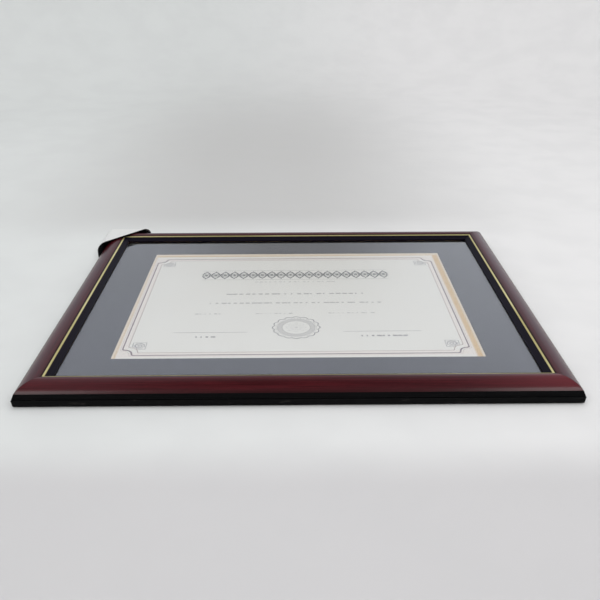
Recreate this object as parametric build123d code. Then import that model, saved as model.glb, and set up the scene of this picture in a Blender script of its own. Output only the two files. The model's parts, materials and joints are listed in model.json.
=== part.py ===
from build123d import *
import os
from math import atan2, cos, degrees, radians, sin

# A certificate frame lying on its back. X is its width, Y its height with the top of the
# certificate at +Y, and Z points out through the front. The origin is the middle of the
# back, on the plane that the frame lies on. Lengths are in millimetres, angles in degrees.

# General
overrun = 2.0                 # how far a cutting tool passes the face that it leaves

# Contents, from the front of the glazing to the back of the board
content_width = 355.6         # a package cut for 14 in by 11 in
content_height = 279.4
film_thickness = 0.1
glazing_thickness = 2.0
mat_thickness = 1.4
certificate_thickness = 0.2
board_thickness = 2.5
cutting_allowance = 0.3       # each edge of the contents is cut this much short
mat_opening_width = 275.8
mat_opening_height = 206.4
certificate_width = 279.4     # a letter sheet on its side
certificate_height = 215.9
certificate_shift_x = -2.0    # where the sheet slipped to behind the mat
certificate_shift_y = -1.5
certificate_turn = 0.25

# Moulding section, measured outwards from the sight edge
rail_width = 23.0
lip_cover = 7.3               # how far the lip covers the contents
rabbet_clearance = 0.8        # room round the contents
sight_edge_height = 1.5
sight_edge_round = 0.6
lip_width = 4.4               # black slope from the sight edge to the bead
lip_rise = 1.9
bead_width = 1.7
bead_rise = 0.8
bead_bulge = 0.25
crown_top_setback = 3.9       # from the bead to the highest line of the crown
crown_top_rise = 0.9
shoulder_inset = 1.8          # the crown stops this far inside the widest line
shoulder_height = 9.6
chamfer_foot_inset = 0.45
chamfer_foot_height = 6.3
quirk_depth = 0.5
quirk_width = 0.7
side_draft = 0.4
back_edge_radius = 1.6
step_width = 9.0              # second rebate, which takes the turn buttons

# Corner fasteners, V shaped strips driven in from the back across each mitre
v_nail_leg = 4.5
v_nail_thickness = 0.6
v_nail_height = 7.0
v_nail_half_angle = 30.0
v_nail_setbacks = (4.2, 8.2)  # apex of each nail, from the rabbet wall

# Turn buttons and their screws
button_thickness = 0.9
button_length = 20.5
button_pivot_radius = 4.5
button_toe_radius = 3.2
button_clearance = 0.1        # between the button and the faces over and under it
button_setback = 4.2          # pivot, from the rabbet wall
button_place_share = 0.29     # distance from the middle of a side, of its sight length
button_bore_clearance = 0.3
button_rib_width = 1.4
button_rib_depth = 0.4
screw_shank_diameter = 2.2
screw_grip = 5.0              # length in the wood
screw_tip_length = 1.5
screw_head_diameter = 5.4
screw_head_height = 1.3

# Easel leg and its hinge
leg_thickness = 2.4
leg_clearance = 0.1           # between the folded leg and the board
leg_top_width = 44.0
leg_foot_width = 72.0
leg_top_radius = 8.0
leg_foot_radius = 3.0
leg_foot_arch = 6.0
leg_foot_gap = 3.4            # foot to the edge of the board
leaf_hanger_gap = 6.4         # fixed leaf to the hanger over it
leg_open_limit = 30.0
leaf_thickness = 0.6
leaf_width = 38.0
fixed_leaf_length = 16.0
moving_leaf_length = 24.0
leaf_corner_radius = 3.0
knuckle_shares = (-0.5, -0.24, 0.24, 0.5)   # where the knuckles meet, of the leaf's width
knuckle_gap = 0.2
barrel_gap = 0.3              # barrel to the leg and to the other leaf
pin_clearance = 0.05
pin_head_length = 0.6
stop_length = 3.4             # hinge axis to the tip of the stop heel
stop_clearance = 0.1
leaf_rivet_column_share = 0.34
leaf_rivet_row_share = 0.62

# Rivets
rivet_shank_diameter = 2.2
rivet_head_diameter = 4.4
rivet_head_height = 0.5
rivet_flare_diameter = 3.6
rivet_flare_height = 0.7
table_clearance = 0.3         # lowest rivet head to the plane that the frame lies on

# Sawtooth hangers
hanger_length = 46.0
hanger_width = 9.0
hanger_thickness = 0.8
hanger_ear_length = 8.5
hanger_joggle = 1.4
hanger_lift = 1.0
hanger_teeth = 9
hanger_tooth_depth = 1.5
hanger_mouth_share = 0.86     # open part of each tooth's pitch
hanger_edge_gap = 4.0         # hanger to the edge of the board
hanger_corner_radius = 2.0

# Slip-on guard on the top left corner: a stiff shell lined with foam
guard_clearance = 0.3         # lining to the side of the rail
guard_flap_gap = 0.2          # lining to the crown
guard_wall_lining = 2.4
guard_flap_lining = 0.8
guard_shell = 0.7
guard_side_leg = 49.6         # from the outer corner of the shell to its ends
guard_top_leg = 44.1
guard_floor_gap = 2.8
guard_inner_fold = 4.5        # radius inside the lining, over the shoulder of the rails
guard_fold = 6.4              # radius between the lining and the shell
guard_corner = 6.8            # the same, round the corner of the frame

# Sizes that follow from these
pin_radius = (leg_thickness + leg_clearance - leaf_thickness) / 2 - pin_clearance
barrel_radius = pin_radius + pin_clearance + leaf_thickness
recess_depth = leg_clearance + leg_thickness + leaf_thickness + rivet_head_height + table_clearance
board_back = recess_depth
board_front = board_back + board_thickness
certificate_front = board_front + certificate_thickness
mat_front = certificate_front + mat_thickness
glazing_front = mat_front + glazing_thickness
seat_height = glazing_front + film_thickness
sight_width = content_width - 2 * lip_cover
sight_height = content_height - 2 * lip_cover
outer_width = sight_width + 2 * rail_width
outer_height = sight_height + 2 * rail_width
rabbet_width = lip_cover + rabbet_clearance
cut_width = content_width - 2 * cutting_allowance
cut_height = content_height - 2 * cutting_allowance
lip_start = (sight_edge_round, seat_height + sight_edge_height)
bead_start = (lip_width, lip_start[1] + lip_rise)
crown_start = (bead_start[0] + bead_width, bead_start[1] + bead_rise)
crown_top = (crown_start[0] + crown_top_setback, crown_start[1] + crown_top_rise)
axis_y = (
    cut_height / 2 - hanger_edge_gap - hanger_width - leaf_hanger_gap - fixed_leaf_length
)
leg_reach = axis_y + cut_height / 2 - leg_foot_gap
axis_z = board_back - barrel_radius
leg_outer_face = axis_z - barrel_radius + leaf_thickness
leaf_bore = pin_radius + pin_clearance
foam_outside = guard_clearance + guard_wall_lining
shell_outside = foam_outside + guard_shell
foam_bottom = crown_top[1] + guard_flap_gap
foam_top = foam_bottom + guard_flap_lining
shell_top = foam_top + guard_shell


def slab(sketch, bottom, top):
    """A flat sketch raised from one height to another."""
    return extrude(Pos(0, 0, bottom) * sketch, amount=top - bottom)


def outline(*points):
    """A face with straight sides."""
    return make_face(Polyline(*points, close=True))


# Moulding

def rail_section():
    """Section of the moulding, as (distance outwards from the sight edge, height)."""
    sight_top = (0, lip_start[1] - sight_edge_round)
    shoulder = (rail_width - shoulder_inset, shoulder_height)
    chamfer_foot = (rail_width - chamfer_foot_inset, chamfer_foot_height)
    quirk = (chamfer_foot[0] - quirk_depth, chamfer_foot[1] - quirk_width / 2)
    side_top = (rail_width, chamfer_foot[1] - quirk_width)
    side_foot = (rail_width - side_draft, back_edge_radius)
    back_edge = (side_foot[0] - back_edge_radius, 0)
    step_edge = rabbet_width + step_width
    return make_face(
        [
            Line((0, seat_height), sight_top),
            TangentArc(sight_top, lip_start, tangent=(0, 1)),
            Line(lip_start, bead_start),
            SagittaArc(bead_start, crown_start, bead_bulge),
            TangentArc(crown_top, crown_start, tangent=(-1, 0)),
            TangentArc(crown_top, shoulder, tangent=(1, 0)),
            Polyline(shoulder, chamfer_foot, quirk, side_top, side_foot),
            TangentArc(side_foot, back_edge, tangent=(0, -1)),
            Polyline(
                back_edge,
                (step_edge, 0),
                (step_edge, board_back),
                (rabbet_width, board_back),
                (rabbet_width, seat_height),
                (0, seat_height),
            ),
        ]
    )


def make_rail(run, reach):
    """A rail along Y on the +X side: run is its sight length, reach its sight edge's place."""
    section = Plane.XZ * (Pos(reach, 0) * rail_section())
    bar = extrude(section, amount=run / 2 + rail_width + overrun, both=True)
    inside, outside = reach - overrun, reach + rail_width + overrun
    short, long = run / 2 - overrun, run / 2 + rail_width + overrun
    mitred = outline((inside, -short), (outside, -long), (outside, long), (inside, short))
    return bar & slab(mitred, -overrun, crown_top[1] + overrun)


def v_nail():
    """A V shaped nail, its apex at the origin and its mouth facing -X."""
    lean = radians(v_nail_half_angle)
    tip = (-v_nail_leg * cos(lean), v_nail_leg * sin(lean))
    inner_tip = (tip[0] - v_nail_thickness * sin(lean), tip[1] - v_nail_thickness * cos(lean))
    inner_apex = (-v_nail_thickness / sin(lean), 0)
    plan = outline(
        (0, 0), tip, inner_tip, inner_apex, (inner_tip[0], -inner_tip[1]), (tip[0], -tip[1])
    )
    return slab(plan, board_back, board_back + v_nail_height)


def corner_nails(side_x, side_y):
    """The nails of one corner, given by the signs of its X and Y."""
    rabbet_x = sight_width / 2 + rabbet_width
    rabbet_y = sight_height / 2 + rabbet_width
    turn = degrees(atan2(side_y, side_x))
    return [
        Pos(side_x * (rabbet_x + s), side_y * (rabbet_y + s)) * Rot(0, 0, turn) * v_nail()
        for s in v_nail_setbacks
    ]


# Turn buttons

def button_places():
    """Pivot and turn of each button, by the name of its place. A turn of 0 faces -X."""
    reach_x = sight_width / 2 + rabbet_width + button_setback
    reach_y = sight_height / 2 + rabbet_width + button_setback
    along_x = sight_width * button_place_share
    along_y = sight_height * button_place_share
    return {
        "right_upper": (reach_x, along_y, 0),
        "right_lower": (reach_x, -along_y, 0),
        "top_right": (along_x, reach_y, 90),
        "top_left": (-along_x, reach_y, 90),
        "left_upper": (-reach_x, along_y, 180),
        "left_lower": (-reach_x, -along_y, 180),
        "bottom_left": (-along_x, -reach_y, 270),
        "bottom_right": (along_x, -reach_y, 270),
    }


button_top = board_back - button_clearance
button_bottom = button_top - button_thickness
screw_seat = button_bottom - button_clearance


def turn_button():
    """A steel tongue on its pivot at the origin, with a rib near the toe for a finger."""
    toe = button_pivot_radius + button_toe_radius - button_length
    pivot_end = Circle(button_pivot_radius)
    toe_end = Pos(toe, 0) * Circle(button_toe_radius)
    plan = make_hull([*pivot_end.edges(), *toe_end.edges()])
    bore = Circle(screw_shank_diameter / 2 + button_bore_clearance)
    rib_length = 2 * button_toe_radius - button_rib_width
    rib = Pos(toe, 0) * SlotOverall(rib_length, button_rib_width, rotation=90)
    return slab(plan - bore, button_bottom, button_top) + slab(
        rib, button_bottom - button_rib_depth, button_top
    )


def dome(radius, seat, height):
    """The outline of a low domed head that hangs under its seat, from its rim to its middle."""
    return EllipticalCenterArc((0, seat), radius, height, start_angle=270, arc_size=90)


def screw():
    """A pan head screw through a button, head down."""
    shank = screw_shank_diameter / 2
    head = screw_head_diameter / 2
    tip = board_back + screw_grip
    half = make_face(
        [
            dome(head, screw_seat, screw_head_height),
            Polyline(
                (0, screw_seat - screw_head_height),
                (0, tip),
                (shank, tip - screw_tip_length),
                (shank, screw_seat),
                (head, screw_seat),
            ),
        ]
    )
    return revolve(Plane.XZ * half, Axis.Z)


# Rivets

def rivet(seat, grip):
    """A rivet with its head under the height of its seat and its end flared flush above."""
    shank = rivet_shank_diameter / 2
    head = rivet_head_diameter / 2
    half = make_face(
        [
            dome(head, seat, rivet_head_height),
            Polyline(
                (0, seat - rivet_head_height),
                (0, seat + grip),
                (rivet_flare_diameter / 2, seat + grip),
                (shank, seat + grip - rivet_flare_height),
                (shank, seat),
                (head, seat),
            ),
        ]
    )
    return revolve(Plane.XZ * half, Axis.Z)


# Easel hinge and leg

def barrel(start, end):
    """A rolled knuckle between two places along X."""
    return Pos(start, axis_y, axis_z) * extrude(Plane.YZ * Circle(barrel_radius), amount=end - start)


def axis_hole():
    """The bore of the hinge, along the whole of the leaves."""
    length = leaf_width + 2 * overrun
    return Pos(-length / 2, axis_y, axis_z) * extrude(Plane.YZ * Circle(leaf_bore), amount=length)


def plate(left, right, low, high, bottom, top):
    """A flat plate given by its sides."""
    return slab(outline((left, low), (right, low), (right, high), (left, high)), bottom, top)


def leaf(direction, length, bottom, knuckles):
    """A leaf that runs to +Y or -Y of the hinge, with a tongue to each of its knuckles."""
    near = axis_y + direction * (barrel_radius + barrel_gap)
    far = axis_y + direction * length
    side = leaf_width / 2
    top = bottom + leaf_thickness
    body = plate(-side, side, near, far, bottom, top)
    corners = body.edges().filter_by(Axis.Z).sort_by(Axis.Y, reverse=direction > 0)[:2]
    body = fillet(corners, leaf_corner_radius)
    for start, end in knuckles:
        body += plate(start, end, axis_y, near, bottom, top) + barrel(start, end)
    return body


def knuckle_ends():
    """The three knuckles, as (start, end) along X, with a gap between each two."""
    first, second, third, fourth = (share * leaf_width for share in knuckle_shares)
    half_gap = knuckle_gap / 2
    return (first, second - half_gap), (second + half_gap, third - half_gap), (third + half_gap, fourth)


def stop_heel(start, end):
    """The lug of a knuckle that lies flat under the fixed leaf when the leg is open."""
    top = board_back - leaf_thickness - stop_clearance
    opened = plate(start, end, axis_y, axis_y + stop_length, top - leaf_thickness, top)
    return opened.rotate(Axis((0, axis_y, axis_z), (1, 0, 0)), -leg_open_limit)


def fixed_leaf():
    """The leaf on the board, with the two outer knuckles."""
    outer_knuckles = knuckle_ends()[::2]
    return leaf(1, fixed_leaf_length, board_back - leaf_thickness, outer_knuckles) - axis_hole()


def moving_leaf():
    """The leaf on the leg, with the middle knuckle and its stop heel."""
    middle = knuckle_ends()[1]
    bottom = axis_z - barrel_radius
    return leaf(-1, moving_leaf_length, bottom, (middle,)) + stop_heel(*middle) - axis_hole()


def hinge_pin():
    """A plain pin, its ends peened over outside the knuckles."""
    length = leaf_width + 2 * knuckle_gap
    rod = extrude(Plane.YZ * Circle(pin_radius), amount=length / 2, both=True)
    end = extrude(Plane.YZ * Circle((pin_radius + barrel_radius) / 2), amount=pin_head_length)
    place = Pos(0, axis_y, axis_z)
    return place * (rod + Pos(length / 2) * end + Pos(-length / 2 - pin_head_length) * end)


def leaf_rivet_places():
    """Rivets of the fixed leaf, then those of the moving leaf, as (x, y)."""
    column = leaf_rivet_column_share * leaf_width
    fixed_row = axis_y + leaf_rivet_row_share * fixed_leaf_length
    moving_row = axis_y - leaf_rivet_row_share * moving_leaf_length
    return [[(x, row) for x in (-column, column)] for row in (fixed_row, moving_row)]


def easel_leg():
    """The fibreboard strut: it widens to a foot that is arched to stand on two toes."""
    top = axis_y - barrel_radius - barrel_gap
    foot = axis_y - leg_reach
    top_side, foot_side = leg_top_width / 2, leg_foot_width / 2
    plan = make_face(
        [
            Polyline((-foot_side, foot), (-top_side, top), (top_side, top), (foot_side, foot)),
            ThreePointArc((foot_side, foot), (0, foot + leg_foot_arch), (-foot_side, foot)),
        ]
    )
    corners = plan.vertices().sort_by(Axis.Y)
    plan = fillet(corners[:2], leg_foot_radius)
    plan = fillet(plan.vertices().sort_by(Axis.Y)[-2:], leg_top_radius)
    return slab(plan, leg_outer_face, leg_outer_face + leg_thickness)


# Hangers

def sawtooth_hanger():
    """A pressed strip with a raised toothed bridge, its teeth facing -Y, its back at 0."""
    end = hanger_length / 2
    ear = end - hanger_ear_length
    bridge = ear - hanger_joggle
    drop = hanger_thickness
    side_view = outline(
        (-end, 0),
        (-ear, 0),
        (-bridge, -hanger_lift),
        (bridge, -hanger_lift),
        (ear, 0),
        (end, 0),
        (end, -drop),
        (ear, -drop),
        (bridge, -hanger_lift - drop),
        (-bridge, -hanger_lift - drop),
        (-ear, -drop),
        (-end, -drop),
    )
    strip = extrude(Plane.XZ * side_view, amount=hanger_width / 2, both=True)
    ends = strip.edges().filter_by(Axis.Z).sort_by(SortBy.DISTANCE)[-4:]
    strip = fillet(ends, hanger_corner_radius)
    pitch = 2 * bridge / hanger_teeth
    mouth = pitch * hanger_mouth_share / 2
    edge = -hanger_width / 2
    for number in range(hanger_teeth):
        x = (number + 0.5) * pitch - bridge
        notch = outline((x - mouth, edge), (x + mouth, edge), (x, edge + hanger_tooth_depth))
        strip -= slab(notch, -hanger_lift - drop - overrun, overrun)
    return strip


def hanger_places():
    """Where the two hangers sit on the board, and how they are turned."""
    inset = hanger_edge_gap + hanger_width / 2
    return {
        "landscape": Pos(0, cut_height / 2 - inset, board_back),
        "portrait": Pos(cut_width / 2 - inset, 0, board_back) * Rot(0, 0, -90),
    }


# Corner guard

def guard_form(plan, top, fold):
    """All that lies inside one face of the guard, with its upper edges folded over."""
    form = slab(plan, guard_floor_gap - overrun, top)
    return fillet(form.faces().sort_by(Axis.Z)[-1].edges(), fold)


def grown_plan(offset):
    """The plan of the frame grown outwards."""
    return Rectangle(outer_width + 2 * offset, outer_height + 2 * offset)


def guard_reach():
    """The corner that the guard covers, cut off along its diagonal edge."""
    x = outer_width / 2 + shell_outside
    y = outer_height / 2 + shell_outside
    side = guard_side_leg + overrun * guard_side_leg / guard_top_leg
    top = guard_top_leg + overrun * guard_top_leg / guard_side_leg
    plan = outline((-x - overrun, y - side), (-x - overrun, y + overrun), (top - x, y + overrun))
    return slab(plan, guard_floor_gap, shell_top + overrun)


def corner_guard():
    """The stiff shell, then the foam that lines it."""
    lining_plan = grown_plan(foam_outside)
    cover_plan = grown_plan(shell_outside)
    room = guard_form(grown_plan(guard_clearance), foam_bottom, guard_inner_fold)
    lining = guard_form(fillet(lining_plan.vertices(), guard_corner), foam_top, guard_fold)
    cover = guard_form(
        fillet(cover_plan.vertices(), guard_corner + guard_shell),
        shell_top,
        guard_fold + guard_shell,
    )
    return (cover - lining) & guard_reach(), (lining - room) & guard_reach()


# Contents

def sheet(width, height, bottom, top):
    """A rectangular sheet between two heights."""
    return slab(Rectangle(width, height), bottom, top)


def window_mat():
    """The mat, its window cut with a bevel of 45 degrees that opens towards the front."""
    blank = sheet(cut_width, cut_height, certificate_front, mat_front)
    window = Pos(0, 0, mat_front + overrun) * Rectangle(
        mat_opening_width + 2 * overrun, mat_opening_height + 2 * overrun
    )
    return blank - extrude(window, amount=-mat_thickness - 2 * overrun, taper=45)


# Assembly

def build_parts():
    """Every piece in its place, by its name."""
    parts = {}
    screws = []
    for name, (x, y, turn) in button_places().items():
        place = Pos(x, y) * Rot(0, 0, turn)
        parts["turn_button_" + name] = place * turn_button()
        screws.append(place * screw())
    parts["turn_button_screws"] = Compound(children=screws)

    corners = {
        "top_left": (-1, 1),
        "top_right": (1, 1),
        "bottom_left": (-1, -1),
        "bottom_right": (1, -1),
    }
    nails = {name: corner_nails(*signs) for name, signs in corners.items()}
    for name, pair in nails.items():
        parts["v_nails_" + name] = Compound(children=pair)

    sides = {
        "right": (sight_height, sight_width / 2, 0),
        "top": (sight_width, sight_height / 2, 90),
        "left": (sight_height, sight_width / 2, 180),
        "bottom": (sight_width, sight_height / 2, 270),
    }
    fastenings = [nail for pair in nails.values() for nail in pair] + screws
    for name, (run, reach, turn) in sides.items():
        parts["rail_" + name] = Rot(0, 0, turn) * make_rail(run, reach) - fastenings

    parts["glazing_film"] = sheet(cut_width, cut_height, glazing_front, seat_height)
    parts["glazing"] = sheet(cut_width, cut_height, mat_front, glazing_front)
    parts["window_mat"] = window_mat()
    parts["certificate"] = (
        Pos(certificate_shift_x, certificate_shift_y)
        * Rot(0, 0, certificate_turn)
        * sheet(certificate_width, certificate_height, board_front, certificate_front)
    )

    fixed_places, moving_places = leaf_rivet_places()
    board_rivets = [
        Pos(x, y) * rivet(board_back - leaf_thickness, leaf_thickness + board_thickness)
        for x, y in fixed_places
    ]
    leg_rivets = [
        Pos(x, y) * rivet(leg_outer_face - leaf_thickness, leaf_thickness + leg_thickness)
        for x, y in moving_places
    ]
    hanger = sawtooth_hanger()
    hanger_rivet = rivet(-hanger_thickness, hanger_thickness + board_thickness)
    hanger_reach = (hanger_length - hanger_ear_length) / 2
    hanger_rivets = [
        place * Pos(x) * hanger_rivet
        for place in hanger_places().values()
        for x in (-hanger_reach, hanger_reach)
    ]
    parts["easel_board_rivets"] = Compound(children=board_rivets)
    parts["easel_leg_rivets"] = Compound(children=leg_rivets)
    parts["hanger_rivets"] = Compound(children=hanger_rivets)
    for name, place in hanger_places().items():
        parts["hanger_" + name] = place * hanger - hanger_rivets
    parts["backing_board"] = sheet(cut_width, cut_height, board_back, board_front) - (
        board_rivets + hanger_rivets
    )
    parts["easel_fixed_leaf"] = fixed_leaf() - board_rivets
    parts["easel_moving_leaf"] = moving_leaf() - leg_rivets
    parts["easel_leg"] = easel_leg() - leg_rivets
    parts["easel_hinge_pin"] = hinge_pin()
    parts["corner_guard_shell"], parts["corner_guard_foam"] = corner_guard()
    return parts


os.makedirs("parts", exist_ok=True)
for name, shape in build_parts().items():
    export_step(shape, f"parts/{name}.step")
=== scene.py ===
"""The certificate frame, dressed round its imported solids. It lies on its back: X is its width,
+Y the top of the certificate and +Z out through the front. Lengths are in metres, but for the
named places and the materials, which are in millimetres."""

import json
import math

import bmesh
import bpy
from mathutils import Matrix, Vector


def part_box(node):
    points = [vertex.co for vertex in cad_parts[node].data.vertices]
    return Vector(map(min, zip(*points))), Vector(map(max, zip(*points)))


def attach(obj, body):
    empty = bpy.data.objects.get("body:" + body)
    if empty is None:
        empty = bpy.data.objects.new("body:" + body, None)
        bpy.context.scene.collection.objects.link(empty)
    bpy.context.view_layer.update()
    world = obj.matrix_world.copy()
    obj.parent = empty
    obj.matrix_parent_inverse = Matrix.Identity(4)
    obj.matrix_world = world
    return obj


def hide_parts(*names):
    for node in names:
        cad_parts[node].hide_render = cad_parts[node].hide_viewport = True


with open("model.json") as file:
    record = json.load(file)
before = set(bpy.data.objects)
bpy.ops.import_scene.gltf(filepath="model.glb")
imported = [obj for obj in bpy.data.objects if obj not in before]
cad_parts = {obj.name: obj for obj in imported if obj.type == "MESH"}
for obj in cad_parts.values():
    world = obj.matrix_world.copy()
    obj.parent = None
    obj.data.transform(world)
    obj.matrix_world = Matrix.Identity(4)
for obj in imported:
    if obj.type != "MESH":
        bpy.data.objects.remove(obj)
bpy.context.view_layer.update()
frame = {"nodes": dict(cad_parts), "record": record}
nodes = frame["nodes"]

MM = 0.001
TURN = math.tau


def packed(node):
    """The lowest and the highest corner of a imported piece, in millimetres."""
    low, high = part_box(node)
    return Vector(low) / MM, Vector(high) / MM


def middle_of(node):
    """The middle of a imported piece's box, in millimetres."""
    low, high = packed(node)
    return (low + high) / 2


# Places on the moulding and the glass, in millimetres
SIGHT_HALF_X = packed("rail_right")[0].x    # half the opening between the lips
SIGHT_HALF_Y = packed("rail_top")[0].y
GLASS_BACK, GLASS_FRONT = (corner.z for corner in packed("glazing"))
SEAT = packed("glazing_film")[1].z          # height of the seat over the glazing film
BEAD_INNER, BEAD_OUTER = 4.5, 6.0           # edges of the gold bead, out from the opening
SIDE_TOP = 9.6                              # height of the top of the black side
SIDE_START, REBATE_END = 20.0, 20.4         # how far out the side starts and the rebates end

# Places of the print, in millimetres from the middle of the sheet
SHEET_TURN = 0.25                           # how far the sheet turned as it slipped, in degrees
BORDER_RISE = 0.6                           # middle of the border
BORDER_HALF_X, BORDER_HALF_Y = 130.8, 94.5
STEP_HALF_X, STEP_HALF_Y = 122.5, 86.0      # where the border steps in at its corners
MARGIN_HALF_X, MARGIN_HALF_Y = 134.1, 101.6  # inner edge of the tinted margin

# Heads of the fasteners, in millimetres
SCREW_HEAD_HEIGHT = 1.3
RIVET_HEAD_WIDTH, RIVET_HEAD_HEIGHT = 4.4, 0.5


# Nodes of materials and of geometry trees

def srgb(red, green, blue):
    """A colour given as it looks on a screen, 0 to 255, as the linear colour that nodes take."""
    def linear(value):
        share = value / 255
        return share / 12.92 if share <= 0.04045 else ((share + 0.055) / 1.055) ** 2.4
    return (linear(red), linear(green), linear(blue), 1.0)


def feed(tree, socket, value):
    """Puts a number, a colour or another node's output into a socket."""
    if isinstance(value, Number):
        value = value.socket
    if isinstance(value, bpy.types.NodeSocket):
        tree.links.new(value, socket)
    else:
        socket.default_value = value


class Number:
    """A number that runs through a tree's nodes and takes plain arithmetic."""

    def __init__(self, tree, socket):
        self.tree = tree
        self.socket = socket

    def math(self, operation, *others):
        """What a math node makes of the number and the others."""
        node = self.tree.nodes.new("ShaderNodeMath")
        node.operation = operation
        for socket, value in zip(node.inputs, (self, *others)):
            feed(self.tree, socket, value)
        return Number(self.tree, node.outputs[0])

    def __add__(self, other):
        return self.math("ADD", other)

    def __sub__(self, other):
        return self.math("SUBTRACT", other)

    def __mul__(self, other):
        return self.math("MULTIPLY", other)

    def __truediv__(self, other):
        return self.math("DIVIDE", other)

    def __abs__(self):
        return self.math("ABSOLUTE")

    __radd__ = __add__
    __rmul__ = __mul__

    def __rsub__(self, other):
        return self * -1 + other

    def over(self, limit):
        """1 where the number is greater than the limit, else 0."""
        return self.math("GREATER_THAN", limit)

    def under(self, limit):
        return self.math("LESS_THAN", limit)

    def sine(self):
        return self.math("SINE")

    def cosine(self):
        return self.math("COSINE")

    def part(self):
        """What is left of the number after its whole part."""
        return self.math("FRACT")

    def ramp(self, low, high):
        """0 at low, 1 at high, and a smooth change between them."""
        node = self.tree.nodes.new("ShaderNodeMapRange")
        node.interpolation_type = "SMOOTHSTEP"
        feed(self.tree, node.inputs["Value"], self)
        node.inputs["From Min"].default_value = low
        node.inputs["From Max"].default_value = high
        return Number(self.tree, node.outputs["Result"])

    def line(self, half, soft=0.1):
        """1 where the number is within half of zero, with a soft edge, as ink on paper has."""
        return abs(self).ramp(half + soft, half - soft)


def highest(first, *others):
    """The greatest of several numbers."""
    for other in others:
        first = first.math("MAXIMUM", other)
    return first


def lowest(first, *others):
    """The least of several numbers."""
    for other in others:
        first = first.math("MINIMUM", other)
    return first


def reach(across, up):
    """How far a place is from the point that two numbers are measured from."""
    return (across * across + up * up).math("SQRT")


class Maker:
    """Short calls that put nodes in one tree."""

    def __init__(self, tree):
        self.tree = tree

    def node(self, kind, inputs=(), **settings):
        """A new node with its settings, its inputs fed by name or by number."""
        made = self.tree.nodes.new(kind)
        for name, value in settings.items():
            setattr(made, name, value)
        for name, value in dict(inputs).items():
            feed(self.tree, made.inputs[name], value)
        return made

    def number(self, socket):
        return Number(self.tree, socket)

    def split(self, vector):
        """The three numbers of a vector."""
        parts = self.node("ShaderNodeSeparateXYZ", {0: vector})
        return [self.number(output) for output in parts.outputs]

    def joined(self, x, y, z):
        """A vector from three numbers."""
        return self.node("ShaderNodeCombineXYZ", {0: x, 1: y, 2: z}).outputs[0]

    def mix(self, share, first, second):
        """A colour between two others."""
        node = self.node("ShaderNodeMix", data_type="RGBA")
        feed(self.tree, node.inputs[0], share)
        feed(self.tree, node.inputs[6], first)
        feed(self.tree, node.inputs[7], second)
        return node.outputs[2]


class Finish(Maker):
    """One material, whose patterns lie still on the piece, in millimetres."""

    def __init__(self, name, shift=(0, 0, 0), turn=0):
        self.material = bpy.data.materials.new(name)
        self.material.use_nodes = True
        super().__init__(self.material.node_tree)
        self.tree.nodes.clear()
        self.output = self.tree.nodes.new("ShaderNodeOutputMaterial")
        self.texture = self.node("ShaderNodeTexCoord")
        scaled = self.node(
            "ShaderNodeVectorMath",
            {0: self.texture.outputs["Object"], "Scale": 1 / MM},
            operation="SCALE",
        )
        mapping = self.node(
            "ShaderNodeMapping", {"Vector": scaled.outputs[0]}, vector_type="TEXTURE"
        )
        mapping.inputs["Location"].default_value = shift
        mapping.inputs["Rotation"].default_value = (0, 0, math.radians(turn))
        self.place = mapping.outputs[0]
        self.x, self.y, self.z = self.split(self.place)

    def facing(self):
        """How far a face looks along each direction of the piece."""
        return [abs(share) for share in self.split(self.texture.outputs["Normal"])]

    def stretched(self, x, y, z):
        """The place, with each direction scaled, for a pattern that runs one way."""
        node = self.node(
            "ShaderNodeVectorMath", {0: self.place, 1: (x, y, z)}, operation="MULTIPLY"
        )
        return node.outputs[0]

    def noise(self, size, place=None, detail=2.0, roughness=0.5):
        """A soft random pattern, whose features are about size millimetres wide."""
        node = self.node(
            "ShaderNodeTexNoise",
            {
                "Vector": place or self.place,
                "Scale": 1 / size,
                "Detail": detail,
                "Roughness": roughness,
            },
        )
        return self.number(node.outputs["Fac"])

    def cells(self, size, place=None, feature="F1"):
        """How far a place is from the middle of its cell, of cells about size millimetres wide."""
        node = self.node(
            "ShaderNodeTexVoronoi",
            {"Vector": place or self.place, "Scale": 1 / size},
            feature=feature,
        )
        return self.number(node.outputs["Distance"])

    def chance(self, value):
        """A random share for each whole number."""
        node = self.node("ShaderNodeTexWhiteNoise", {"W": value}, noise_dimensions="1D")
        return self.number(node.outputs["Value"])

    def bump(self, height, depth):
        """A normal from a height of 0 to 1 that stands for depth millimetres."""
        return self.node("ShaderNodeBump", {"Height": height, "Distance": depth * MM}).outputs[0]

    def surface(self, colour, roughness, **inputs):
        """Ends the material in one Principled shader."""
        shader = self.node(
            "ShaderNodeBsdfPrincipled", {"Base Color": colour, "Roughness": roughness}
        )
        for name, value in inputs.items():
            socket = name.replace("_", " ").title().replace("Ior", "IOR")
            feed(self.tree, shader.inputs[socket], value)
        self.tree.links.new(shader.outputs[0], self.output.inputs["Surface"])
        return self.material


# Materials of the moulding

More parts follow.
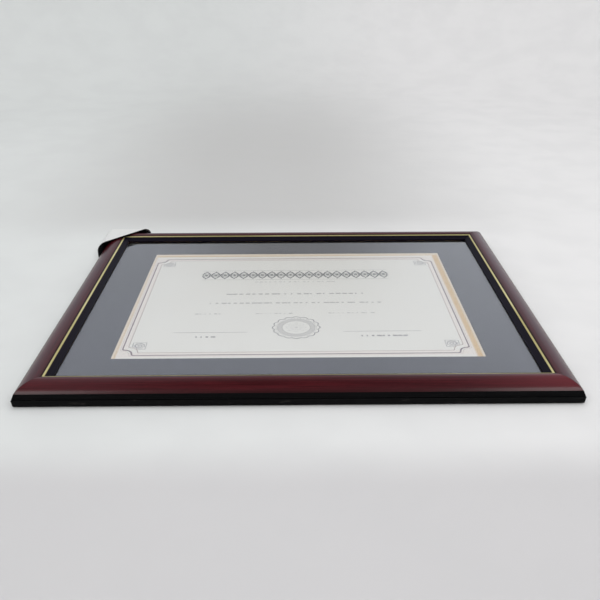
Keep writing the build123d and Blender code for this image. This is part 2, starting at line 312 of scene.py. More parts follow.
def moulding_finish(name, runs_along_x):
    """Mahogany crown, gold bead, black lip and side, and bare wood in the rebates and behind."""
    f = Finish(name)
    from_side = abs(f.x) - SIGHT_HALF_X
    from_end = abs(f.y) - SIGHT_HALF_Y
    out = highest(from_side, from_end)
    seam = (from_side - from_end).line(0.09, 0.05)

    def along(share):
        return f.stretched(share, 1, 1) if runs_along_x else f.stretched(1, share, 1)

    streaks = f.noise(1.1, along(0.02), 4.0, 0.6)
    pores = f.noise(0.3, along(0.06), 1.0)
    clouds = f.noise(55.0, detail=1.0)

    red = f.mix(streaks.ramp(0.3, 0.72), srgb(52, 9, 13), srgb(76, 17, 23))
    red = f.mix(pores.ramp(0.56, 0.7) * 0.4, red, srgb(26, 4, 6))
    red = f.mix(clouds.ramp(0.35, 0.7) * 0.35, red, srgb(58, 18, 24))
    # Painted light: the front rail's crown is painted a lighter red towards its two ends, more
    # towards +X, standing in for the stronger light that falls there.
    if runs_along_x:
        painted_light_at_ends = f.x.ramp(100, 200) * 0.62 + f.x.ramp(-80, -160) * 0.13
        is_front = f.y.under(0)
        red = f.mix(painted_light_at_ends * is_front, red, srgb(108, 38, 45))
    # Painted shade: the crown is painted darker brown next to the bead, near black in the crease
    # against it, and darker where it rolls over towards the side.
    painted_inner_shade = out.ramp(8.4, 6.1)
    bead_shade = out.ramp(7.0, 6.5)
    side_shade = out.ramp(18.5, 21.0)
    red = f.mix(painted_inner_shade * 0.7, red, srgb(44, 24, 20))
    red = f.mix(bead_shade * 0.8, red, srgb(14, 9, 8))
    red = f.mix(side_shade * 0.5, red, srgb(36, 10, 12))

    foil_streaks = f.noise(2.2, along(0.03), 3.0)
    foil = f.mix(foil_streaks.ramp(0.35, 0.7), srgb(196, 182, 120), srgb(228, 217, 158))
    rubbed = f.noise(1.6, detail=4.0).ramp(0.66, 0.74)
    foil = f.mix(rubbed * 0.55, foil, srgb(112, 88, 52))
    # Painted shade: the foil is painted dark along both edges of the bead, where it turns down into
    # the creases.
    painted_bead_edge_shade = abs(out - (BEAD_INNER + BEAD_OUTER) / 2).ramp(0.55, 0.72)
    foil = f.mix(painted_bead_edge_shade, foil, srgb(60, 44, 28))

    lacquer = f.noise(0.8, along(0.03), 2.0)
    black = f.mix(lacquer, srgb(5, 5, 6), srgb(13, 13, 14))
    violet = f.mix(lacquer, srgb(10, 7, 15), srgb(22, 17, 29))
    dust = f.noise(0.5, detail=3.0).ramp(0.68, 0.78)
    black = f.mix(dust * 0.2, black, srgb(66, 66, 68))
    arris = f.noise(5.0, along(0.3), 4.0).ramp(0.6, 0.7) * out.ramp(22.45, 22.75)
    black = f.mix(arris * 0.35, black, srgb(84, 78, 74))

    rings = (f.noise(9.0, along(0.02), 2.0) * 14).part().ramp(0.0, 0.9)
    wood = f.mix(rings, srgb(196, 158, 110), srgb(219, 188, 144))
    fibres = f.noise(0.5, along(0.04), 4.0, 0.65).ramp(0.45, 0.75)
    wood = f.mix(fibres * 0.6, wood, srgb(158, 116, 76))

    is_gold = out.over(BEAD_INNER) * out.under(BEAD_OUTER)
    is_lip = out.under(BEAD_INNER)
    hair = 0.02
    is_side = f.z.under(SIDE_TOP + hair) * out.over(SIDE_START)
    is_rebate = f.z.under(SEAT + hair) * out.under(REBATE_END)
    is_raw = highest(is_rebate, f.z.under(hair))
    is_crown = (1 - is_gold) * (1 - is_lip) * (1 - is_side) * (1 - is_raw)

    colour = f.mix(is_lip, red, violet)
    colour = f.mix(is_gold, colour, foil)
    colour = f.mix(is_side, colour, black)
    colour = f.mix(is_raw, colour, wood)
    colour = f.mix(seam * 0.75, colour, srgb(14, 8, 7))
    roughness = 0.3 + streaks * 0.14 + is_side * 0.16 + is_lip * 0.12
    roughness = highest(roughness, is_raw * 0.78)
    relief = streaks * 0.55 + pores * 0.45 - seam * 1.5
    return f.surface(
        colour,
        roughness,
        metallic=is_gold * (1 - is_raw) * 0.8,
        normal=f.bump(relief * (1 - is_gold * 0.7), 0.01),
        specular_ior_level=0.07,
        coat_weight=is_crown * out.ramp(6.4, 7.4) * 0.38,
        coat_roughness=0.2,
    )


# Materials of the contents

def clear_sheet_finish(name, tint, waviness):
    """A clear sheet: what lies behind shows through it, and it mirrors the room by its angle."""
    f = Finish(name)
    geometry = f.node("ShaderNodeNewGeometry")
    front = 1 - f.number(geometry.outputs["Backfacing"])
    mirror = f.number(f.node("ShaderNodeFresnel", {"IOR": 1.5}).outputs[0]) * front
    waves = f.noise(35.0, detail=1.0)
    shine = f.node(
        "ShaderNodeBsdfGlossy",
        {"Color": (1, 1, 1, 1), "Roughness": 0.03, "Normal": f.bump(waves, waviness)},
    )
    through = f.node("ShaderNodeBsdfTransparent", {"Color": tint})
    mixed = f.node("ShaderNodeMixShader", {0: mirror, 1: through.outputs[0], 2: shine.outputs[0]})
    f.tree.links.new(mixed.outputs[0], f.output.inputs["Surface"])
    return f.material


def mat_finish():
    """Mat board: a dark face paper over a cream core, which shows at the bevel."""
    f = Finish("mat_board")
    grain = f.noise(0.7, detail=4.0, roughness=0.7)
    fibres = f.cells(0.9, f.stretched(0.35, 1, 1))
    face = f.mix(grain, srgb(47, 47, 52), srgb(60, 61, 66))
    face = f.mix(f.noise(30.0, detail=3.0).ramp(0.4, 0.7) * 0.3, face, srgb(58, 55, 66))
    core = f.mix(f.noise(0.4, detail=3.0), srgb(212, 198, 180), srgb(228, 216, 199))
    face_thickness = 0.18
    colour = f.mix(f.z.over(GLASS_BACK - face_thickness), core, face)
    return f.surface(colour, 0.86, normal=f.bump(grain * 0.6 + fibres * 0.4, 0.04))


# The printed sheet: a double border with stepped corners, scrolls, an ornament and a seal

def border_marks(f):
    """The border lines, stepped in round a scroll at each corner."""
    across, up = abs(f.x), abs(f.y - BORDER_RISE)
    step = (across - STEP_HALF_X).math("SMOOTH_MIN", up - STEP_HALF_Y, 13.0)
    edge = highest(across - BORDER_HALF_X, up - BORDER_HALF_Y).math("SMOOTH_MAX", step, 3.0)

    scroll_x, scroll_low, scroll_high = 119.2, -79.3, 82.0
    middle = f.y.over(0) * (scroll_high - scroll_low) + scroll_low
    aside, along = across - scroll_x, f.y - middle
    turning = along.math("ARCTAN2", aside)
    away = reach(aside, along)
    spiral = (away * 0.5 - turning / TURN).part() - 0.5
    scroll = spiral.line(0.2, 0.12) * away.under(3.9)
    leaves = (away - 4.0 - (turning * 8).sine() * 0.35).line(0.2)
    square = (highest(abs(aside), abs(along)) - 5.1).line(0.24) * (edge + 4.5).under(0)

    clear = away.over(4.5)
    outer = edge.line(0.5) * clear
    inner = (edge + 3.8).line(0.3) * clear
    hair = (edge - 1.5).line(0.16) * clear
    return outer, highest(inner * 0.75, hair * 0.5), highest(scroll, leaves, square) * 0.95


def frieze_marks(f):
    """A running ornament across the top: two crossing waves, with a bead in each eye."""
    height, wave, rise = 55.6, 17.2, 6.4
    up = f.y - height
    within = abs(f.x).ramp(86.5, 84.5)
    phase = f.x * (TURN / wave)
    swing = phase.sine() * rise
    lean = abs(phase.cosine())
    breadth = 0.5 + lean * 1.15
    strands = (lowest(abs(up - swing), abs(up + swing)) - breadth).ramp(0.15, -0.15)
    eye = ((f.x / (wave / 2)).part() - 0.5) * (wave / 2)
    bead = reach(eye, up)
    beads = highest(bead.under(1.6), (bead - 2.8).line(0.35))
    tip = reach(eye, abs(up) - 7.9)
    leaf = (tip - 1.2 - (up.math("ARCTAN2", eye) * 6).cosine() * 0.45).under(0)
    rules = (abs(up) - 10.4).line(0.22) * 0.7
    return highest(strands, beads, leaf * 0.9, rules) * within * 0.92


def dash_marks(f, height, left, right, pitch, half, strength):
    """Short strokes of uneven length in a row."""
    along = (f.x - left) / pitch
    share = f.chance(along.math("FLOOR") + height)
    stroke = along.part().under(share * 0.75 + 0.2)
    row = (f.y - height).line(half, 0.15)
    inside = f.x.over(left) * f.x.under(right)
    return stroke * row * inside * strength


def row_marks(f):
    """Rows of short strokes, with two ruled lines over the lowest ones."""
    # height, left end, right end, pitch of the strokes, half their height, strength
    rows = (
        (39.7, -36, 36, 4.3, 0.7, 0.45),
        (13.6, -60, 60, 5.6, 1.0, 0.62),
        (-4.7, -73, 73, 5.1, 1.0, 0.55),
        (-25.0, -83, -62, 3.9, 0.9, 0.5),
        (-25.0, -33, -2, 3.9, 0.8, 0.45),
        (-25.0, 27, 66, 3.9, 0.8, 0.45),
        (-65.6, -78.3, -62.7, 4.0, 1.1, 0.75),
        (-65.6, 50.8, 87.3, 4.1, 1.1, 0.75),
    )
    marks = [dash_marks(f, *row) for row in rows]
    ruled = (f.y + 58).line(0.28) * highest((f.x + 67.4).line(29.1), (f.x - 68.0).line(30.7))
    return highest(*marks, ruled * 0.7)


def seal_marks(f):
    """A round seal: scalloped rim, beads, rays and a plain eight-petalled rosette."""
    aside, up = f.x - 0.2, f.y + 50.6
    away = reach(aside, up)
    turning = up.math("ARCTAN2", aside)
    scallops = abs((turning * 8).cosine()) * 1.7
    rim = (away - 17.3 - scallops).line(0.45)
    rays = (turning * 60).sine().over(0.0)
    band = (away - 13.2).line(1.5) * (0.5 + rays * 0.3)
    rings = highest((away - 15.0).line(0.22), (away - 11.3).line(0.25))
    bead_ring, bead_count = 16.2, 40
    beside = ((turning * bead_count / TURN).part() - 0.5) * (bead_ring * TURN / bead_count)
    beads = reach(beside, away - bead_ring).under(0.5)
    petal = abs((turning * 4).cosine()).math("POWER", 0.6) * 8.0
    rosette = highest((away - petal).line(0.35), (away - petal * 0.6).line(0.3), away.under(1.3))
    return highest(rim, band * 0.55, rings * 0.8, beads * 0.6, rosette * 0.35) * 0.85


def certificate_finish():
    """Printed certificate on a slightly mottled pale stock."""
    slip = middle_of("certificate")
    f = Finish("printed_certificate", (slip.x, slip.y, 0), SHEET_TURN)
    paper = f.mix(f.noise(1.4, detail=4.0), srgb(220, 217, 211), srgb(228, 226, 221))
    mottled = f.noise(40.0).ramp(0.35, 0.7)
    paper = f.mix(mottled * 0.5, paper, srgb(222, 219, 213))

    edge = highest(abs(f.x) - MARGIN_HALF_X, abs(f.y) - MARGIN_HALF_Y)
    tint = f.mix(f.noise(1.2, detail=3.0), srgb(197, 165, 115), srgb(213, 184, 140))
    colour = f.mix(edge.ramp(-1.4, 1.2), paper, tint)
    beyond = highest(abs(f.x) - BORDER_HALF_X, abs(f.y - BORDER_RISE) - BORDER_HALF_Y)
    blush = beyond.ramp(-5.0, -3.0) * beyond.ramp(3.4, 2.8)
    colour = f.mix(blush * 0.3, colour, srgb(226, 206, 200))

    border, fine, scrolls = border_marks(f)
    fade = 0.8 + f.noise(2.5) * 0.4
    colour = f.mix(border * fade, colour, srgb(106, 84, 90))
    colour = f.mix(fine * fade, colour, srgb(142, 116, 110))
    colour = f.mix(scrolls * fade, colour, srgb(120, 116, 120))
    colour = f.mix(highest(row_marks(f), seal_marks(f)) * fade, colour, srgb(104, 98, 102))
    colour = f.mix(frieze_marks(f) * fade, colour, srgb(66, 68, 68))
    return f.surface(
        colour, 0.62, normal=f.bump(f.noise(0.5, detail=4.0), 0.01), specular_ior_level=0.3
    )


# Materials of the back and of the guard

def fibreboard_finish():
    """Fibreboard faced with pebbled black paper, brown where it is cut."""
    f = Finish("black_faced_fibreboard")
    pile = f.noise(0.35, detail=4.0, roughness=0.7)
    pebbles = f.cells(0.8, feature="SMOOTH_F1")
    black = f.mix(pile, srgb(18, 17, 17), srgb(40, 38, 37))
    scuffs = f.noise(14.0, detail=6.0, roughness=0.75).ramp(0.6, 0.72)
    black = f.mix(scuffs * 0.3, black, srgb(78, 74, 70))
    specks = f.cells(6.0).under(0.05)
    black = f.mix(specks * 0.5, black, srgb(110, 104, 96))
    layers = f.noise(0.25, f.stretched(0.15, 0.15, 1), 4.0, 0.7)
    brown = f.mix(layers, srgb(92, 66, 44), srgb(150, 116, 80))
    cut = f.facing()[2].under(0.5)
    colour = f.mix(cut, black, brown)
    return f.surface(
        colour, 0.82, normal=f.bump(pile * 0.5 + pebbles * 0.5, 0.06), specular_ior_level=0.3
    )


def metal_finish(name, pale, dark, roughness, turn=None):
    """Plated steel, brushed along one direction, or mottled by its plating."""
    f = Finish(name, turn=turn or 0)
    brushed = turn is not None
    strokes = f.noise(0.22, f.stretched(0.05, 1, 1) if brushed else None, 3.0, 0.7)
    patches = f.noise(3.0, detail=3.0)
    colour = f.mix(strokes.ramp(0.3, 0.7) * 0.6 + patches * 0.4, dark, pale)
    stains = f.noise(1.8, detail=5.0, roughness=0.7).ramp(0.64, 0.72)
    colour = f.mix(stains * 0.3, colour, srgb(104, 96, 84))
    return f.surface(
        colour, roughness + strokes * 0.2, metallic=1.0, normal=f.bump(strokes, 0.006)
    )


def guard_finish():
    """Thin white skin with a matt grain, a little soiled, and black on its faces that look out
    along the open diagonal.
    """
    f = Finish("guard_white_plastic")
    grain = f.noise(0.35, detail=4.0, roughness=0.7)
    colour = f.mix(grain, srgb(213, 213, 211), srgb(224, 224, 222))
    soil = f.noise(7.0, detail=5.0, roughness=0.7).ramp(0.6, 0.75)
    colour = f.mix(soil * 0.25, colour, srgb(176, 172, 166))
    # The faces that look along +X and -Y, along the open diagonal edge, are coloured black.
    right, up, _ = f.split(f.texture.outputs["Normal"])
    cut = (right - up).over(0.9)
    colour = f.mix(cut, colour, f.mix(grain, srgb(8, 8, 8), srgb(26, 26, 26)))
    return f.surface(colour, 0.5 + grain * 0.15, normal=f.bump(grain, 0.02))


def foam_finish():
    """Black cellular foam, its open cells as fine pits."""
    f = Finish("guard_black_foam")
    pits = f.cells(0.55)
    colour = f.mix(pits.ramp(0.0, 0.5), srgb(4, 4, 4), srgb(24, 24, 25))
    return f.surface(colour, 0.95, normal=f.bump(pits, 0.15), specular_ior_level=0.1)


# Fasteners, each made by a tree of its own

class Tree(Maker):
    """A geometry tree with named sizes, which ends in one plain mesh with one material."""

    def __init__(self, name, sizes):
        super().__init__(bpy.data.node_groups.new(name, "GeometryNodeTree"))
        interface = self.tree.interface
        interface.new_socket("Geometry", in_out="INPUT", socket_type="NodeSocketGeometry")
        interface.new_socket("Geometry", in_out="OUTPUT", socket_type="NodeSocketGeometry")
        self.identifiers = {}
        for size in sizes:
            socket = interface.new_socket(size, in_out="INPUT", socket_type="NodeSocketFloat")
            self.identifiers[size] = socket.identifier
        self.sizes = sizes
        inputs = self.node("NodeGroupInput")
        self.places = inputs.outputs["Geometry"]
        self.size = {size: self.number(inputs.outputs[size]) for size in sizes}

    def curve(self, share, heights):
        """A value read off straight runs between evenly spaced heights."""
        node = self.node("ShaderNodeFloatCurve", {"Value": share})
        points = node.mapping.curves[0].points
        last = len(heights) - 1
        while len(points) < len(heights):
            points.new(0.5, 0.5)
        for step, (point, height) in enumerate(zip(points, heights)):
            point.location = (step / last, height)
            point.handle_type = "VECTOR"
        node.mapping.update()
        return self.number(node.outputs[0])

    def turned(self, profile, radius, height, sides):
        """A closed solid turned about Z from points of (share of radius, share of height)."""
        grid = self.node(
            "GeometryNodeMeshGrid",
            {"Size X": 1.0, "Size Y": 1.0, "Vertices X": sides + 1, "Vertices Y": len(profile)},
        )
        column, row, _ = self.split(self.node("GeometryNodeInputPosition").outputs[0])
        share = row + 0.5
        away = self.curve(share, [point[0] for point in profile]) * radius
        rise = self.curve(share, [point[1] for point in profile]) * height
        angle = column * TURN
        place = self.joined(angle.cosine() * away, angle.sine() * away, rise)
        moved = self.node(
            "GeometryNodeSetPosition", {"Geometry": grid.outputs[0], "Position": place}
        )
        return self.node(
            "GeometryNodeMergeByDistance", {"Geometry": moved.outputs[0], "Distance": 1e-6}
        ).outputs[0]

    def moved(self, geometry, shift=None, turn=(0, 0, 0), scale=(1, 1, 1)):
        """A form scaled, turned and then shifted."""
        node = self.node(
            "GeometryNodeTransform", {"Geometry": geometry, "Scale": scale, "Rotation": turn}
        )
        if shift is not None:
            feed(self.tree, node.inputs["Translation"], shift)
        return node.outputs[0]

    def together(self, *pieces):
        """Several forms as one."""
        node = self.node("GeometryNodeJoinGeometry")
        for piece in pieces:
            self.tree.links.new(piece, node.inputs[0])
        return node.outputs[0]

    def placed(self, piece, turn):
        """The piece at each of the tree's places."""
        return self.node(
            "GeometryNodeInstanceOnPoints",
            {"Points": self.places, "Instance": piece, "Rotation": turn},
        ).outputs[0]

    def finish(self, instances, material):
        """Ends the tree in one mesh of its own, in its material."""
        real = self.node("GeometryNodeRealizeInstances", {0: instances})
        painted = self.node(
            "GeometryNodeSetMaterial", {"Geometry": real.outputs[0], "Material": material}
        )
        self.tree.links.new(painted.outputs[0], self.node("NodeGroupOutput").inputs[0])

    def grown(self, name, places):
        """The tree's mesh over a list of places, as an object with nothing left to evaluate."""
        mesh = bpy.data.meshes.new(name + "_places")
        mesh.from_pydata(places, [], [])
        seeds = bpy.data.objects.new(name + "_places", mesh)
        bpy.context.scene.collection.objects.link(seeds)
        modifier = seeds.modifiers.new("fasteners", "NODES")
        modifier.node_group = self.tree
        for size, value in self.sizes.items():
            modifier[self.identifiers[size]] = value
        evaluated = seeds.evaluated_get(bpy.context.evaluated_depsgraph_get())
        grown = bpy.data.meshes.new_from_object(evaluated)
        bpy.data.objects.remove(seeds)
        return new_piece(name, grown)


def new_piece(name, mesh, sharp=32):
    """A piece whose place is in its mesh, smooth but for the edges that turn by more than sharp."""
    work = bmesh.new()
    work.from_mesh(mesh)
    bmesh.ops.recalc_face_normals(work, faces=work.faces)
    for face in work.faces:
        face.smooth = True
    for edge in work.edges:
        edge.smooth = edge.is_manifold and edge.calc_face_angle(0) < math.radians(sharp)
    work.to_mesh(mesh)
    work.free()
    mesh.name = name
    piece = bpy.data.objects.new(name, mesh)
    bpy.context.scene.collection.objects.link(piece)
    return piece


def screw_tree(length, material):
    """A pan head screw with a cross recess and a rolled thread, its seat at its place."""
    t = Tree(
        "pan_head_screw",
        {
            "Head width": 5.4 * MM,
            "Head height": SCREW_HEAD_HEIGHT * MM,
            "Recess width": 3.1 * MM,
            "Recess depth": 0.95 * MM,
            "Thread width": 2.2 * MM,
            "Length": length * MM,
            "Thread pitch": 0.8 * MM,
        },
    )
    head_profile = (
        (0, 0), (0.97, 0), (1, 0.08), (1, 0.3), (0.96, 0.52), (0.88, 0.7),
        (0.74, 0.85), (0.55, 0.94), (0.3, 0.99), (0, 1),
    )
    head = t.turned(head_profile, t.size["Head width"] / 2, t.size["Head height"], 40)
    blade = t.node(
        "GeometryNodeMeshCone",
        {
            "Vertices": 4,
            "Radius Top": t.size["Recess width"] * 0.24,
            "Radius Bottom": t.size["Recess width"] * 0.76,
            "Depth": t.size["Recess depth"] * 1.3,
        },
    ).outputs["Mesh"]
    blade = t.moved(blade, turn=(math.pi, 0, math.radians(45)))
    depth = t.size["Head height"] - t.size["Recess depth"]
    cuts = [
        t.moved(
            t.moved(blade, scale=(1, 0.22, 1)), t.joined(0, 0, depth), (0, 0, math.radians(angle))
        )
        for angle in (0, 90)
    ]
    cut = t.node("GeometryNodeMeshBoolean", operation="DIFFERENCE", solver="EXACT")
    t.tree.links.new(head, cut.inputs["Mesh 1"])
    for blade in cuts:
        t.tree.links.new(blade, cut.inputs["Mesh 2"])
    core = t.size["Thread width"] * 0.36
    shank_profile = ((0, 0), (1, 0), (1, 0.4), (1, 0.74), (0.1, 1), (0, 1))
    shank = t.turned(shank_profile, core, t.size["Length"], 16)
    threaded = t.size["Length"] * 0.72
    thread = t.node(
        "GeometryNodeCurveSpiral",
        {
            "Resolution": 14,
            "Rotations": threaded / t.size["Thread pitch"],
            "Start Radius": core,
            "End Radius": core,
            "Height": threaded,
        },
    )
    section = t.node(
        "GeometryNodeCurvePrimitiveCircle",
        {"Resolution": 3, "Radius": t.size["Thread width"] * 0.1},
    )
    ridge = t.node(
        "GeometryNodeCurveToMesh",
        {"Curve": thread.outputs[0], "Profile Curve": section.outputs[0], "Fill Caps": True},
    ).outputs[0]
    shank = t.moved(t.together(shank, ridge), turn=(math.pi, 0, 0))
    spin = t.node(
        "FunctionNodeRandomValue", {"Min": 0.0, "Max": TURN, "Seed": 7}, data_type="FLOAT"
    )
    spun = next(output for output in spin.outputs if output.enabled)
    face_down = t.joined(math.pi, 0, spun)
    t.finish(t.placed(t.together(cut.outputs[0], shank), face_down), material)
    return t


def rivet_tree(name, grip, material):
    """A domed rivet with its head under its place and its rolled end flush above."""
    t = Tree(
        name,
        {
            "Head width": RIVET_HEAD_WIDTH * MM,
            "Head height": RIVET_HEAD_HEIGHT * MM,
            "Shank width": 2.2 * MM,
            "Flare width": 3.6 * MM,
            "Grip": grip * MM,
        },
    )
    dome = (
        (0, 0), (0.96, 0), (1, 0.1), (0.97, 0.32),
        (0.86, 0.62), (0.66, 0.84), (0.36, 0.97), (0, 1),
    )
    head = t.turned(dome, t.size["Head width"] / 2, t.size["Head height"], 32)
    head = t.moved(head, turn=(math.pi, 0, 0))
    straight = ((0, 0), (1, 0), (1, 1), (0, 1))
    shank = t.turned(straight, t.size["Shank width"] / 2, t.size["Grip"] * 0.9, 24)
    rolled = ((0, 0), (0.62, 0), (0.7, 0.4), (0.92, 0.8), (1, 1), (0.8, 1), (0.62, 0.7), (0, 0.6))
    end = t.turned(rolled, t.size["Flare width"] / 2, t.size["Grip"] * 0.2, 28)
    end = t.moved(end, t.joined(0, 0, t.size["Grip"] * 0.8))
    t.finish(t.placed(t.together(head, shank, end), (0, 0, 0)), material)
    return t


def build_screws(material):
    """One screw through each turn button, where its pivot is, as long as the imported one."""
    low, high = packed("turn_button_screws")
    seat = low.z + SCREW_HEAD_HEIGHT
    places = [
        (joint["pos_m"][0], joint["pos_m"][1], seat * MM)
        for joint in frame["record"]["behaviour"]["joints"]
        if joint["name"].startswith("turn_button")
    ]
    screws = screw_tree(high.z - seat, material).grown("pan_head_screws", places)
    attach(screws, "root")
    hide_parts("turn_button_screws")


def build_rivets(material):
    """Rivets of the hinge's two leaves and of the hangers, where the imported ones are."""
    head = RIVET_HEAD_WIDTH / 2
    leaf_half = packed("easel_board_rivets")[1].x - head
    hanger_half = -packed("hanger_rivets")[0].x - head
    board_row, leg_row = middle_of("easel_board_rivets").y, middle_of("easel_leg_rivets").y
    wide, tall = middle_of("hanger_landscape"), middle_of("hanger_portrait")
    board_spots = [(side * leaf_half, board_row) for side in (-1, 1)]
    leg_spots = [(side * leaf_half, leg_row) for side in (-1, 1)]
    hanger_spots = [(wide.x + side * hanger_half, wide.y) for side in (-1, 1)]
    hanger_spots += [(tall.x, tall.y + side * hanger_half) for side in (-1, 1)]
    for name, node, body, spots in (
        ("hinge_board_rivets", "easel_board_rivets", "root", board_spots),
        ("hinge_leg_rivets", "easel_leg_rivets", "easel", leg_spots),
        ("sawtooth_hanger_rivets", "hanger_rivets", "root", hanger_spots),
    ):
        low, high = packed(node)
        seat = low.z + RIVET_HEAD_HEIGHT
        places = [(x * MM, y * MM, seat * MM) for x, y in spots]
        rivets = rivet_tree(name + "_tree", high.z - seat, material).grown(name, places)
        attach(rivets, body)
        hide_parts(node)


def plain_copy(node, face=0.0, shift=0.0):
    """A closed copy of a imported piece's mesh. The face at one height may be drawn back a little,
    both in millimetres."""
    near = 1e-6
    work = bmesh.new()
    work.from_mesh(nodes[node].data)
    bmesh.ops.remove_doubles(work, verts=work.verts, dist=near)
    bmesh.ops.recalc_face_normals(work, faces=work.faces)
    work.verts.index_update()
    points = [vertex.co.copy() for vertex in work.verts]
    for point in points:
        if abs(point.z - face * MM) < near:
            point.z += shift * MM
    faces = [[vertex.index for vertex in face.verts] for face in work.faces]
    work.free()
    mesh = bpy.data.meshes.new(node + "_copy")
    mesh.from_pydata(points, [], faces)
    return mesh


def build_sheets(board, film):
    """The mat and the film, drawn back a hair from the glass, which they otherwise share faces
    with, so that light finds one face at a time."""
    hair = 0.012
    for name, node, slot, face, shift, material in (
        ("bevelled_window_mat", "window_mat", "mat_board", GLASS_BACK, -hair, board),
        ("film_over_glass", "glazing_film", "clear_film", GLASS_FRONT, hair, film),
    ):
        mesh = plain_copy(node, face, shift)
        mesh.materials.append(material)
        sheet = new_piece(name, mesh)
        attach(sheet, "root")
        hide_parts(node)


def build_foam(material):
    """The guard's foam lining, its cut edges rounded as foam's are."""
    cell = 0.42 * MM
    smoothings = 2
    lining = bpy.data.objects.new("guard_foam_lining", plain_copy("corner_guard_foam"))
    bpy.context.scene.collection.objects.link(lining)
    remesh = lining.modifiers.new("cells", "REMESH")
    remesh.mode = "VOXEL"
    remesh.voxel_size = cell
    evaluated = lining.evaluated_get(bpy.context.evaluated_depsgraph_get())
    rounded = bpy.data.meshes.new_from_object(evaluated)
    bpy.data.objects.remove(lining)
    work = bmesh.new()
    work.from_mesh(rounded)
    for _ in range(smoothings):
        bmesh.ops.smooth_vert(
            work, verts=work.verts, factor=0.5, use_axis_x=True, use_axis_y=True, use_axis_z=True
        )
    work.to_mesh(rounded)
    work.free()
    rounded.materials.clear()
    rounded.materials.append(material)
    lining = new_piece("guard_foam_lining", rounded, sharp=180)
    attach(lining, "corner_guard")
    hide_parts("corner_guard_foam")


# The studio

def studio_finish():
    """Pale paper all round, painted lighter towards +X, with a painted shade behind the frame, and
    a little darker in front of it.
    """
    f = Finish("studio_paper")
    # Painted light: the paper is painted lighter towards +X, as if the light falls brighter on that
    # side.
    pale = f.mix(f.x.ramp(-260, 330), srgb(221, 223, 222), srgb(232, 231, 231))
    near = f.y.ramp(-188, -242) * f.y.ramp(-900, -400) * abs(f.x).ramp(800, 300)
    pale = f.mix(near * 0.85, pale, srgb(204, 202, 203))
    # Painted shade: the paper behind the frame is painted darker, as if shaded there.
    behind = (f.x + 50).line(215, 170) * f.y.ramp(145, 258) * f.y.ramp(1450, 500)
    pale = f.mix(behind * 0.8, pale, srgb(190, 189, 188))
    soft = f.noise(60.0)
    pale = f.mix(soft.ramp(0.35, 0.7) * 0.12, pale, srgb(198, 198, 199))
    return f.surface(pale, 0.95, specular_ior_level=0.0, normal=f.bump(soft, 1.5))


def build_studio():
    """A round floor, and a wall all round that it curves up into. Gloss shows the floor alone."""
    flat, rim, bend, top = 1.0, 1.45, 0.3, 1.0
    drop = -0.0002
    steps = 16
    paper = studio_finish()
    curve = [
        (flat + (rim - flat) * math.sin(angle), drop + bend * (1 - math.cos(angle)))
        for angle in (math.radians(90) * step / steps for step in range(steps + 1))
    ]
    rings = [(away, drop) for away in (0.0, 0.12, 0.3, 0.6)]
    turned_sheet("studio_floor", [*rings, curve[0]], paper)
    wall = turned_sheet("studio_wall", [*curve, (rim, 0.6), (rim, top)], paper)
    wall.visible_glossy = False


def turned_sheet(name, profile, material):
    """A sheet turned about Z from points of (distance, height)."""
    sides = 120
    points = [
        (away * math.cos(TURN * side / sides), away * math.sin(TURN * side / sides), height)
        for away, height in profile
        for side in range(sides)
    ]
    faces = [
        (row * sides + side, row * sides + (side + 1) % sides,
         (row + 1) * sides + (side + 1) % sides, (row + 1) * sides + side)
        for row in range(len(profile) - 1)
        for side in range(sides)
    ]
    mesh = bpy.data.meshes.new(name)
    mesh.from_pydata(points, [], faces)
    mesh.materials.append(material)
    work = bmesh.new()
    work.from_mesh(mesh)
    bmesh.ops.remove_doubles(work, verts=work.verts, dist=1e-6)
    for face in work.faces:
        face.smooth = True
    work.to_mesh(mesh)
    work.free()
    sheet = bpy.data.objects.new(name, mesh)
    bpy.context.scene.collection.objects.link(sheet)
    return sheet


def soft_lamp(name, place, size, watts, shiny=True):
    """A wide lamp that looks at the middle of the frame, and shows in gloss where it is shiny."""
    data = bpy.data.lights.new(name, "AREA")
    data.shape = "RECTANGLE"
    data.size, data.size_y = size
    data.energy = watts
    lamp = bpy.data.objects.new(name, data)
    bpy.context.scene.collection.objects.link(lamp)
    lamp.location = place
    lamp.rotation_euler = (-Vector(place)).to_track_quat("-Z", "Y").to_euler()
    lamp.visible_glossy = shiny


def build_lights():
    """A wide lamp overhead and one on each side of the camera, which show on the crown."""
    soft_lamp("lamp_overhead", (0.15, 0.15, 1.7), (2.4, 2.0), 14.9, shiny=False)
    soft_lamp("lamp_left", (-0.95, -1.3, 1.45), (0.6, 0.6), 6.0)
    soft_lamp("lamp_right", (0.93, -1.31, 1.44), (0.52, 0.52), 5.0)


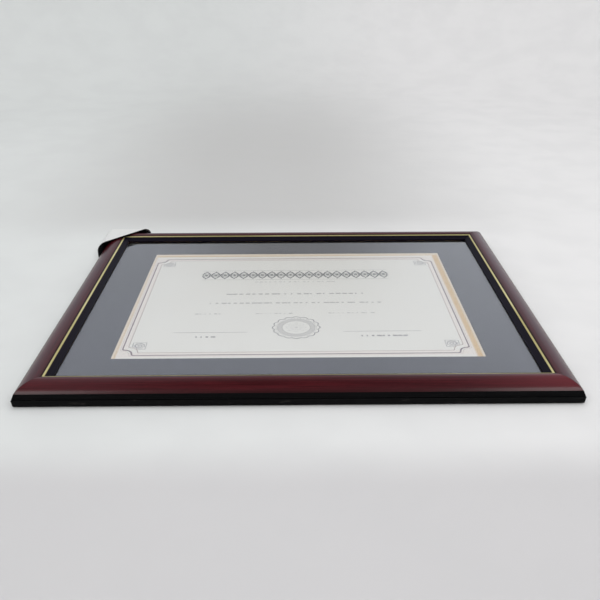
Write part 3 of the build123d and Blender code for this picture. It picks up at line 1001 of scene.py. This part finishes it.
def build_room():
    """The world: even light all round, and for gloss a bright band above a dark ceiling."""
    world = bpy.data.worlds.new("studio_room")
    bpy.context.scene.world = world
    world.use_nodes = True
    world.node_tree.nodes.clear()
    m = Maker(world.node_tree)
    aside, forward, up = m.split(m.node("ShaderNodeTexCoord").outputs["Generated"])
    band = up.ramp(0.36, 0.5) * up.ramp(0.68, 0.56)
    ahead = forward.ramp(0.0, 0.45)
    shown = m.mix(abs(aside).ramp(0.02, 0.2), srgb(178, 179, 182), srgb(213, 218, 227))
    ceiling = up.ramp(0.8, 1.0) * abs(aside).ramp(0.36, 0.12)
    shown = m.mix(ceiling, shown, srgb(60, 61, 64))
    shown = m.mix(band * ahead, shown, (0.82, 0.87, 0.98, 1))
    shown = m.mix(forward.ramp(-0.1, -0.6) * 0.8, shown, srgb(90, 90, 94))
    bright_side = aside.ramp(0.05, 0.35) * ahead * up.ramp(0.6, 0.4)
    shown = m.mix(bright_side * 0.4, shown, (1.3, 1.36, 1.5, 1))
    path = m.node("ShaderNodeLightPath")
    gloss = m.number(path.outputs["Is Glossy Ray"])
    colour = m.mix(gloss, srgb(243, 244, 246), shown)
    strength = gloss * 0.45 + 0.55
    background = m.node("ShaderNodeBackground", {"Color": colour, "Strength": strength})
    output = m.node("ShaderNodeOutputWorld")
    world.node_tree.links.new(background.outputs[0], output.inputs[0])


def build_camera():
    """The camera of the photograph, found from the corners of the bead, the window and the side."""
    azimuth, elevation, roll = (math.radians(angle) for angle in (-0.3828, 25.1369, -0.1974))
    distance, slide_x, slide_y = 0.64605, 0.001838, 0.005642
    sensor, focal_pixels, picture_pixels = 36, 749.15, 600
    back = Vector(
        (
            math.sin(azimuth) * math.cos(elevation),
            -math.cos(azimuth) * math.cos(elevation),
            math.sin(elevation),
        )
    )
    level = Vector((math.cos(azimuth), math.sin(azimuth), 0))
    upright = back.cross(level)
    right = level * math.cos(roll) + upright * math.sin(roll)
    up = upright * math.cos(roll) - level * math.sin(roll)
    data = bpy.data.cameras.new("photo_camera")
    data.sensor_width = sensor
    data.lens = sensor * focal_pixels / picture_pixels
    camera = bpy.data.objects.new("photo_camera", data)
    bpy.context.scene.collection.objects.link(camera)
    place = back * distance + right * slide_x + up * slide_y
    turn = Matrix((right, up, back)).transposed().to_4x4()
    camera.matrix_world = Matrix.Translation(place) @ turn
    bpy.context.scene.camera = camera


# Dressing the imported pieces

def dress(node, material):
    """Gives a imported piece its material."""
    mesh = nodes[node].data
    mesh.materials.clear()
    mesh.materials.append(material)


def dress_all():
    """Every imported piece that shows, and the pieces made here."""
    along_x = moulding_finish("mahogany_moulding_wide", True)
    along_y = moulding_finish("mahogany_moulding_tall", False)
    for node in ("rail_top", "rail_bottom"):
        dress(node, along_x)
    for node in ("rail_left", "rail_right"):
        dress(node, along_y)
    dress("glazing", clear_sheet_finish("clear_glass", (0.99, 0.994, 0.992, 1), 0.02))
    film = clear_sheet_finish("clear_film", (0.992, 0.992, 0.992, 1), 0.1)
    dress("glazing_film", film)
    board_face = mat_finish()
    dress("window_mat", board_face)
    dress("certificate", certificate_finish())
    board = fibreboard_finish()
    dress("backing_board", board)
    dress("easel_leg", board)
    zinc = metal_finish("zinc_plate", srgb(196, 196, 190), srgb(150, 150, 146), 0.32)
    pale, dark = srgb(206, 205, 200), srgb(168, 167, 163)
    nickel = metal_finish("nickel_plate", pale, dark, 0.2, 0)
    nickel_tall = metal_finish("nickel_plate_tall", pale, dark, 0.2, 90)
    for node in nodes:
        if node.startswith(("turn_button", "v_nails")):
            dress(node, zinc)
        elif node.startswith("hanger") or (node.startswith("easel") and node != "easel_leg"):
            dress(node, nickel)
    dress("hanger_portrait", nickel_tall)
    dress("corner_guard_shell", guard_finish())
    foam = foam_finish()
    dress("corner_guard_foam", foam)
    build_screws(zinc)
    build_rivets(nickel)
    build_foam(foam)
    build_sheets(board_face, film)


build_camera()
build_studio()
build_lights()
build_room()
dress_all()

scene = bpy.context.scene
scene.view_settings.view_transform = "Standard"
scene.cycles.max_bounces = 12
scene.cycles.transparent_max_bounces = 16
